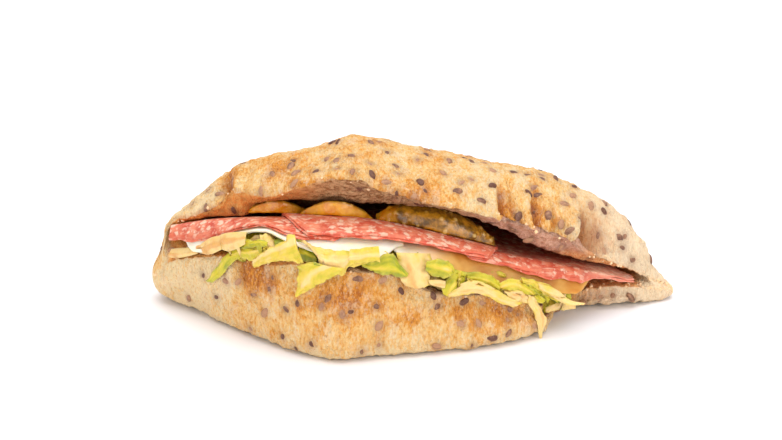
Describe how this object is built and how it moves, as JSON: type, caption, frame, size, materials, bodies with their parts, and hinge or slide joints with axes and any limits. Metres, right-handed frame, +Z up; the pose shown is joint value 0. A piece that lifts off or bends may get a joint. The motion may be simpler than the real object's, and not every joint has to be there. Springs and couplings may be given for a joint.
{
  "type": "salami sandwich",
  "caption": "Rustic seeded bread roll slit open along its front and filled with shredded lettuce, cheese, salami and gherkin.",
  "frame": {"origin": "under the middle of the sandwich, on the plane it lies on", "axes": "+X along the roll towards its thin right tip, +Z up, and the slit opens towards -Y"},
  "size_m": [0.192, 0.1156, 0.0678],
  "materials": {
    "baked_crust": "matte floury crust",
    "cured_salami": "slightly greasy cured meat",
    "sliced_cheese": "smooth satin cheese",
    "pickled_gherkin": "wet and glossy",
    "iceberg_lettuce": "thin satin leaf"
  },
  "bodies": {
    "root": {"bread_roll": "baked_crust", "salami_left": "cured_salami", "salami_middle": "cured_salami", "salami_right": "cured_salami", "cheese_left": "sliced_cheese", "cheese_right": "sliced_cheese", "gherkin_left": "pickled_gherkin", "gherkin_middle": "pickled_gherkin", "gherkin_right": "pickled_gherkin", "lettuce_shreds": "iceberg_lettuce"}
  },
  "joints": []
}
